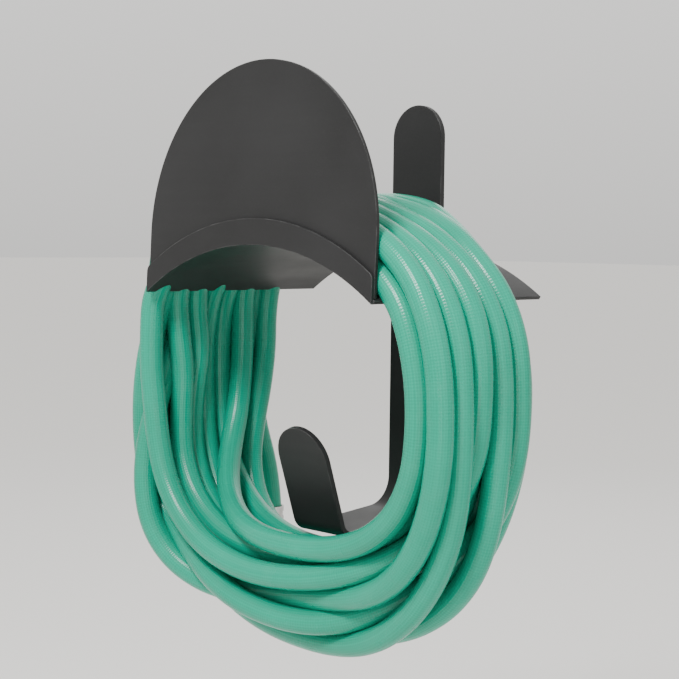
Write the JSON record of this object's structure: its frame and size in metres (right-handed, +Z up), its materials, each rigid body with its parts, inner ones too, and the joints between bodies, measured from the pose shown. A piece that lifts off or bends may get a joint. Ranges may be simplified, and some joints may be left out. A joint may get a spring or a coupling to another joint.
{
  "type": "hose on wall hanger",
  "caption": "Wall-mounted sheet-metal hose hanger with an arched shield, saddle and lower hook, holding a loosely coiled braided hose with a tap nut and a quick-connect socket.",
  "frame": {"origin": "on the wall face of the back bar, midway between its two wall screw holes", "axes": "+X to the right along the wall, +Y into the wall, +Z up"},
  "size_m": [0.32, 0.172, 0.4287],
  "materials": {
    "powder_coat": "matte charcoal powder coat",
    "black_steel": "black zinc-plated screw",
    "hose_pvc": "satin green braid-reinforced PVC",
    "ferrule_steel": "pressed stainless ferrule",
    "brass": "turned brass",
    "nickel": "nickel-plated, grip grooves",
    "bright_steel": "bright steel",
    "rubber": "black rubber"
  },
  "bodies": {
    "hanger": {"back_bar": "powder_coat", "saddle": "powder_coat", "front_shield": "powder_coat", "saddle_screws": "black_steel", "hose_coil": "hose_pvc", "hose_tap_tail": "hose_pvc", "hose_spray_tail": "hose_pvc", "tap_ferrule": "ferrule_steel", "tap_stem": "brass", "tap_washer": "rubber", "socket_ferrule": "ferrule_steel", "socket_adapter": "brass", "socket_body": "brass", "locking_balls": "bright_steel", "sleeve_spring": "bright_steel", "snap_ring": "bright_steel", "seal_ring": "rubber", "valve_spring": "bright_steel"},
    "tap_nut": {"swivel_nut": "brass"},
    "sleeve": {"release_sleeve": "nickel"},
    "poppet": {"valve_poppet": "brass"}
  },
  "joints": [
    {"name": "tap_nut_spin", "type": "hinge", "parent": "hanger", "child": "tap_nut", "pos_m": [-0.145, -0.02, -0.19], "axis": [0, 0, 1], "continuous": true},
    {"name": "sleeve_pull", "type": "slide", "parent": "hanger", "child": "sleeve", "axis": [-1, 0, 0], "range_m": [0, 0.006], "stiffness_N_per_m": 1500, "springref_m": -0.004, "deforming": ["sleeve_spring"]},
    {"name": "valve_push", "type": "slide", "parent": "hanger", "child": "poppet", "axis": [-1, 0, 0], "range_m": [0, 0.003], "stiffness_N_per_m": 800, "springref_m": -0.003, "deforming": ["valve_spring"]}
  ]
}
